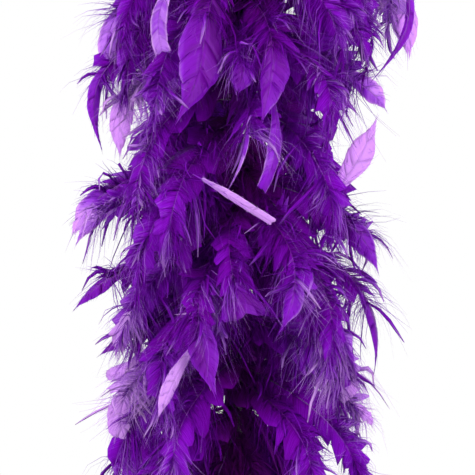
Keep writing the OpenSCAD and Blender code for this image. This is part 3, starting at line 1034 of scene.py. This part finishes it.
def down_parts(f, plan, settings, rng, detail):
    """The downy webs, the clinging locks and the soft barbs of some feathers. Those behind the cord in the
    view have the widest webs, which close the gaps between the others."""
    if detail == "close":
        core = dict(plan, root=0.02 + 0.3 * (plan["root"] - 0.02), reach=plan["reach"] * 0.55)
        return [vanes(f, settings, rng, lobes=7, columns=4, rows=4, downy=True, tufted=0.4, reach=0.9,
                      beyond=0.7),
                down(f, plan, rng, LOCKS, 5, settings.lock_width / 2, thin=0.06, bulge=1.0),
                down(f, plan, rng, settings.soft_barbs, 4, 0.20 * MM, loose=1.6),
                down(f, core, rng, settings.core_barbs, 4, 0.20 * MM, loose=3.0)]
    if detail == "behind":
        return [vanes(f, settings, rng, lobes=10, columns=3, rows=3, downy=True, tufted=0.35, reach=1.3),
                down(f, plan, rng, LOCKS, 4, settings.lock_width / 2, thin=0.06, bulge=1.0),
                down(f, plan, rng, 2 * settings.far_barbs, 4, 0.26 * MM, loose=1.5)]
    return [vanes(f, settings, rng, lobes=5, columns=3, rows=3, downy=True, tufted=0.5, reach=0.75,
                  beyond=0.85),
            down(f, plan, rng, LOCKS // 2, 4, settings.lock_width / 2, thin=0.06, bulge=1.0),
            down(f, plan, rng, settings.far_barbs, 3, 0.32 * MM, loose=1.3)]


def wisp_parts(f, plan, settings, rng, detail):
    """The finest barbs of some feathers and the unhooked edges of their vanes."""
    if detail == "close":
        return [down(f, plan, rng, settings.wisp_barbs, 4, 0.08 * MM, loose=2.2),
                fringe(f, rng, 60, 4, 0.10 * MM)]
    return [fringe(f, rng, 12, 3, 0.18 * MM)]


def split_by_view(f):
    """The feathers that can be seen closely, those behind the cord in the view, and the rest."""
    in_view = (f["z"] < NEAR_TOP) & (f["z"] > NEAR_END)
    facing = f["path"][:, RACHIS_POINTS // 2, 1] < 6 * MM
    kinds = (("close", in_view & facing), ("behind", in_view & ~facing), ("plain", ~in_view))
    return [(some_of(f, which), detail) for detail, which in kinds if which.any()]


def stretch_name(number):
    return f"stretch_{number:02d}"


def cross_hinge(piece):
    """Bakes the piece's place into its mesh and gives it no body; nothing here bends it across the hinge it
    spans.
    """
    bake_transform(piece)


def follow(piece, number, group):
    """Feathers beside a hinge are baked in place without a body, and the others ride on their own stretch."""
    if group == "upper" and number > 1:
        cross_hinge(piece)
    elif group == "lower" and number < STRETCHES:
        cross_hinge(piece)
    else:
        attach(piece, stretch_name(number))


class BOA_OT_feathers(bpy.types.Operator):
    """Grow every feather of the boa, one piece for each group of quills"""

    bl_idname = "boa.feathers"
    bl_label = "Feathers"

    def execute(self, context):
        settings = context.scene.boa_feathers
        colours = context.scene.boa_colours
        finishes = [material_of(m, colours) for m in (dyed_turkey_vane, dyed_quill)]
        soft = [material_of(dyed_turkey_down, colours)]
        every = grown(settings)
        for number in range(1, STRETCHES + 1):
            for g, group in enumerate(GROUPS):
                first = (number - 1) * STRETCH_QUILLS + g * GROUP_QUILLS
                f = some_of(every, slice(first, first + GROUP_QUILLS))
                rng = np.random.default_rng([settings.seed, first])
                f["n"] = f["n"] - first
                kinds = [(some, lock_plan(some, rng), detail) for some, detail in split_by_view(f)]
                name = f"{number:02d}_{group}"
                for base, parts, finish in (("turkey_feathers_", vane_parts, finishes),
                                            ("turkey_down_", down_parts, soft),
                                            ("turkey_wisps_", wisp_parts, soft)):
                    shells = [held_in(p) for some, plan, detail in kinds
                              for p in parts(some, plan, settings, rng, detail)]
                    piece = add_mesh(base + name, shells, finish)
                    follow(piece, number, group)
                    if parts is vane_parts:
                        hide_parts("feathers_" + name)
        return {"FINISHED"}


# ---------------------------------------------------------------- cord

def helix(z, radius, turn_length, phase):
    """Points (radius cos a, radius sin a, z), where a grows by one whole turn over each turn_length of
    fall."""
    a = phase - 2 * math.pi * (z - z[0]) / turn_length
    return np.stack([radius * np.cos(a), radius * np.sin(a), z], axis=-1)


def round_line(centre, radius, lay, phase):
    """A ply wound round a centre line: the centre plus radius (cos a side + sin a normal), where a grows by
    one whole turn over each lay of the line's length."""
    _, side, normal = carried_frames(centre)
    a = (phase + 2 * math.pi * lengths_along(centre) / lay)[:, None]
    return centre + radius * (np.cos(a) * side + np.sin(a) * normal)


def resampled(points, step):
    """A smooth line through the given points, as points one step apart: a cubic through each four
    neighbours."""
    points = np.asarray(points, float)
    padded = np.vstack([2 * points[0] - points[1], points, 2 * points[-1] - points[-2]])
    legs = np.linalg.norm(np.diff(points, axis=0), axis=1)
    out = []
    for i, leg in enumerate(legs):
        t = np.linspace(0, 1, max(2, int(round(leg / step))), endpoint=False)[:, None]
        p0, p1, p2, p3 = padded[i:i + 4]
        out.append(0.5 * (2 * p1 + (p2 - p0) * t + (2 * p0 - 5 * p1 + 4 * p2 - p3) * t ** 2
                          + (3 * p1 - p0 - 3 * p2 + p3) * t ** 3))
    return np.vstack([*out, points[-1:]])


def span_ends(k):
    """Top and bottom of the cord's span k, which crosses hinge k: spans meet halfway along their stretch."""
    top = TOP_KNOT_BOX[0][2] if k == 0 else (HINGE_Z[k - 1] + HINGE_Z[k]) / 2
    bottom = BOTTOM_KNOT_BOX[1][2] if k == len(HINGE_Z) - 1 else (HINGE_Z[k] + HINGE_Z[k + 1]) / 2
    return top, bottom


def spanned(base, k):
    """The CAD nodes that span k stands for: its upper stretch's, and on the last span the last stretch's
    too."""
    names = [f"{base}_{k + 1:02d}"]
    if k == len(HINGE_Z) - 1:
        names.append(f"{base}_{k + 2:02d}")
    return names


class BOA_OT_plies(bpy.types.Operator):
    """Twist the two cotton plies of the cord, in one span for each hinge"""

    bl_idname = "boa.plies"
    bl_label = "Cotton plies"

    def execute(self, context):
        settings = context.scene.boa_cord
        finish = material_of(dyed_cotton_ply, context.scene.boa_colours)
        start = TOP_KNOT_BOX[0][2]
        for k in range(len(HINGE_Z)):
            top, bottom = span_ends(k)
            z = np.arange(top, bottom - 1e-6, -PLY_STEP)
            z[-1] = bottom
            for name, phase in (("ply_a", 0.0), ("ply_b", math.pi)):
                turned_by = phase - 2 * math.pi * (top - start) / -settings.lay
                path = helix(z, settings.cord_d / 4, settings.lay, turned_by)
                ply = tube(path, settings.cord_d / 4, PLY_SIDES)
                piece = add_mesh(f"cotton_{name}_span_{k + 1}", [ply], [finish])
                cross_hinge(piece)
                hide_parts(*spanned(name, k))
        return {"FINISHED"}


class BOA_OT_binding_thread(bpy.types.Operator):
    """Wind the binding thread round the plies, one turn between each quill and the next"""

    bl_idname = "boa.binding_thread"
    bl_label = "Binding thread"

    def execute(self, context):
        settings = context.scene.boa_cord
        finish = material_of(sewing_thread, context.scene.boa_colours)
        for k in range(len(HINGE_Z)):
            top, bottom = span_ends(k)
            top = min(top, FEATHERS_TOP)
            bottom = max(bottom, FEATHERS_END)
            z = np.arange(top, bottom, -PITCH / THREAD_TURN_STEPS)
            turned_by = -2 * math.pi * (FEATHERS_TOP - top) / PITCH
            path = helix(z, settings.cord_d / 2 + settings.thread_d / 2, PITCH, turned_by)
            thread = tube(path, settings.thread_d / 2, THREAD_SIDES)
            piece = add_mesh(f"binding_thread_span_{k + 1}", [thread], [finish])
            cross_hinge(piece)
            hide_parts(*spanned("binding_thread", k))
        return {"FINISHED"}


def loop_route():
    """The loop's centre line: up one leg, round the eye and down the other leg. The eye is an arc about the
    point below the origin, and each leg leaves it along its tangent."""
    mid_r = LOOP_BOX[1][0] - CORD_D / 2
    centre_z = LOOP_BOX[1][2] - CORD_D / 2 - mid_r
    leg_x = CORD_D / 2 + LEG_GAP
    end_z = TOP_KNOT_BOX[1][2] - INTO_KNOT
    reach = math.hypot(leg_x, end_z - centre_z)
    lean = math.asin(mid_r / reach) - math.atan(leg_x / (centre_z - end_z))
    a = np.linspace(-lean, math.pi + lean, 48)
    arc = np.stack([mid_r * np.cos(a), 0 * a, centre_z + mid_r * np.sin(a)], axis=-1)
    share = np.linspace(0, 1, 20, endpoint=False)[:, None]
    first = mix(np.array([leg_x, 0, end_z]), arc[0], share)
    last = mix(arc[-1], np.array([-leg_x, 0, end_z]), np.linspace(0, 1, 21)[1:, None])
    return np.vstack([first, arc, last])


def twisted(route, settings):
    """Both plies wound round a route."""
    quarter = settings.cord_d / 4
    return [tube(round_line(route, quarter, settings.lay, phase), quarter, PLY_SIDES)
            for phase in (0.0, math.pi)]


def knot_route(box):
    """A pulled overhand knot in a box, as the trefoil (sin a + 2 sin 2a, cos a - 2 cos 2a, -sin 3a) with its
    height stretched to the box: the plies cross over and under themselves three times."""
    low, high = np.array(box[0]), np.array(box[1])
    centre = (low + high) / 2
    radius = (high[0] - low[0]) / 2 - CORD_D / 2
    a = np.linspace(0, 2 * math.pi, 150)
    x = np.sin(a) + 2 * np.sin(2 * a)
    y = np.cos(a) - 2 * np.cos(2 * a)
    z = -np.sin(3 * a)
    height = (high[2] - low[2]) / 2 - CORD_D / 2
    return centre + np.stack([radius * x / 3, radius * y / 3, height * z], axis=-1)


class BOA_OT_ends(bpy.types.Operator):
    """Make the hanging loop, the knots, the thread whippings and the tail"""

    bl_idname = "boa.ends"
    bl_label = "Loop, knots and tail"

    def execute(self, context):
        settings = context.scene.boa_cord
        cotton = material_of(dyed_cotton_ply, context.scene.boa_colours)
        thread = material_of(sewing_thread, context.scene.boa_colours)
        top_body, end_body = stretch_name(1), stretch_name(STRETCHES)
        route = loop_route()
        loop = add_mesh("cotton_hanging_loop", twisted(route, settings), [cotton])
        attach(loop, top_body)
        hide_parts("hanging_loop")
        for node, body in (("top_knot", top_body), ("bottom_knot", end_body), ("tail_knot", end_body)):
            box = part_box(node)
            parts = twisted(knot_route(box), settings) + twisted(straight_through(box), settings)
            knot = add_mesh("cotton_" + node, parts, [cotton])
            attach(knot, body)
            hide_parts(node)
        for node, body in (("top_whipping", top_body), ("bottom_whipping", end_body)):
            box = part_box(node)
            half = settings.whip_d / 2
            z = np.linspace(box[1][2] - half, box[0][2] + half, WHIPPING_STEPS)
            turns = helix(z, settings.cord_d / 2 + half, settings.whip_d, 0.0)
            whipping = add_mesh("thread_" + node, [tube(turns, half * 0.98, WHIPPING_SIDES)], [thread])
            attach(whipping, body)
            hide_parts(node)
        self.make_tail(settings, cotton, end_body)
        return {"FINISHED"}

    def make_tail(self, settings, cotton, body):
        """The tail's cord along its route, which the frame's tail shares."""
        top = BOTTOM_KNOT_BOX[0][2]
        steps = [np.array([x * MM, 0, top + z * MM]) for x, z in TAIL_STEPS]
        route = resampled(steps, TAIL_STEP)
        tail = add_mesh("cotton_tail", twisted(route, settings), [cotton])
        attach(tail, body)
        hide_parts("tail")


def straight_through(box):
    """The cord's way down through a knot."""
    x, y = (box[0][0] + box[1][0]) / 2, (box[0][1] + box[1][1]) / 2
    z = np.linspace(box[1][2], box[0][2], 12)
    return np.stack([x + 0 * z, y + 0 * z, z], axis=-1)


# ---------------------------------------------------------------- stage

def area_light(name, place, aim, size, power):
    """A soft box: a rectangular area light turned to face a point."""
    light = bpy.data.lights.new(name, "AREA")
    light.shape = "RECTANGLE"
    light.size, light.size_y = size
    light.energy = power
    lamp = bpy.data.objects.new(name, light)
    bpy.context.scene.collection.objects.link(lamp)
    way = np.array(aim) - np.array(place)
    back = unit(-way)
    right = unit(np.cross([0.0, 0.0, 1.0], back))
    up = np.cross(back, right)
    matrix = np.eye(4)
    matrix[:3, 0], matrix[:3, 1], matrix[:3, 2], matrix[:3, 3] = right, up, back, place
    lamp.matrix_world = matrix.T
    return lamp


class BOA_OT_stage(bpy.types.Operator):
    """Set the camera, the white surround, the soft lights and the pale floor"""

    bl_idname = "boa.stage"
    bl_label = "Camera, light and floor"

    def execute(self, context):
        settings = context.scene.boa_stage
        self.make_camera(context, settings)
        self.make_surround(context, settings)
        middle = (0, 0, VIEW_Z)
        area_light("key_light", (-1.5, -2.2, VIEW_Z + 1.5), middle, (1.4, 1.8), settings.key)
        area_light("fill_light", (2.2, -1.6, VIEW_Z + 0.2), middle, (1.4, 2.0), settings.fill)
        area_light("back_light", (0.6, 2.4, VIEW_Z + 1.2), middle, (1.6, 1.8), settings.fill)
        self.make_floor(settings)
        return {"FINISHED"}

    def make_camera(self, context, settings):
        camera = bpy.data.cameras.new("camera")
        camera.lens = settings.lens
        camera.sensor_width = SENSOR_WIDTH
        away = VIEW_HEIGHT / 2 / (camera.sensor_width / 2 / camera.lens)
        holder = bpy.data.objects.new("camera", camera)
        holder.location = (0, -away, VIEW_Z)
        holder.rotation_euler = (math.pi / 2, 0, 0)
        context.scene.collection.objects.link(holder)
        context.scene.camera = holder
        context.scene.view_settings.view_transform = "Standard"

    def make_surround(self, context, settings):
        """A white surround, with one strength as the camera sees it and another as it lights the boa."""
        world = bpy.data.worlds.new("white_surround")
        world.use_nodes = True
        tree = world.node_tree
        tree.nodes.clear()
        path = add_node(tree, "ShaderNodeLightPath")
        seen, light = [
            add_node(tree, "ShaderNodeBackground", {"Color": (1, 1, 1, 1), "Strength": strength})
            for strength in (settings.background, settings.ambient)]
        both = add_node(tree, "ShaderNodeMixShader", {"Fac": path.outputs["Is Camera Ray"],
                                                      1: light.outputs[0], 2: seen.outputs[0]})
        add_node(tree, "ShaderNodeOutputWorld", {"Surface": both.outputs[0]})
        context.scene.world = world

    def make_floor(self, settings):
        """A round sheet of pale paper a little below the tail, out of the main view."""
        radius, sides = 2.2, 96
        height = CAD_BOX[0][2] - 0.08
        a = np.arange(sides) * 2 * math.pi / sides
        ring = np.stack([radius * np.cos(a), radius * np.sin(a), 0 * a + height], axis=-1)
        mesh = bpy.data.meshes.new("floor")
        mesh.from_pydata(ring.tolist(), [], [list(range(sides))])
        mesh.materials.append(studio_paper(settings))
        floor = bpy.data.objects.new("floor", mesh)
        bpy.context.scene.collection.objects.link(floor)


# ---------------------------------------------------------------- panel and registration

class BOA_PT_panel(bpy.types.Panel):
    """Lists the boa's settings and the operators that build it"""

    bl_label = "Feather boa"
    bl_idname = "BOA_PT_panel"
    bl_space_type = "VIEW_3D"
    bl_region_type = "UI"
    bl_category = "Boa"

    def draw(self, context):
        for group, operators in PANEL_ROWS:
            box = self.layout.box()
            settings = getattr(context.scene, group)
            for name in settings.__annotations__:
                box.prop(settings, name)
            for operator in operators:
                box.operator(operator)


PANEL_ROWS = (
    ("boa_feathers", ("boa.feathers",)),
    ("boa_cord", ("boa.plies", "boa.binding_thread", "boa.ends")),
    ("boa_colours", ()),
    ("boa_stage", ("boa.stage",)),
)
SETTINGS = {"boa_feathers": BoaFeatherSettings, "boa_cord": BoaCordSettings,
            "boa_colours": BoaColourSettings, "boa_stage": BoaStageSettings}
CLASSES = (*SETTINGS.values(), BOA_OT_stage, BOA_OT_ends, BOA_OT_plies, BOA_OT_binding_thread,
           BOA_OT_feathers, BOA_PT_panel)


def register():
    for cls in CLASSES:
        bpy.utils.register_class(cls)
    for name, cls in SETTINGS.items():
        setattr(bpy.types.Scene, name, bpy.props.PointerProperty(type=cls))


def unregister():
    for name in SETTINGS:
        delattr(bpy.types.Scene, name)
    for cls in reversed(CLASSES):
        bpy.utils.unregister_class(cls)


def main():
    """Builds the stage and every piece."""
    register()
    bpy.ops.boa.stage()
    bpy.ops.boa.ends()
    bpy.ops.boa.plies()
    bpy.ops.boa.binding_thread()
    bpy.ops.boa.feathers()


if __name__ == "__main__":
    main()
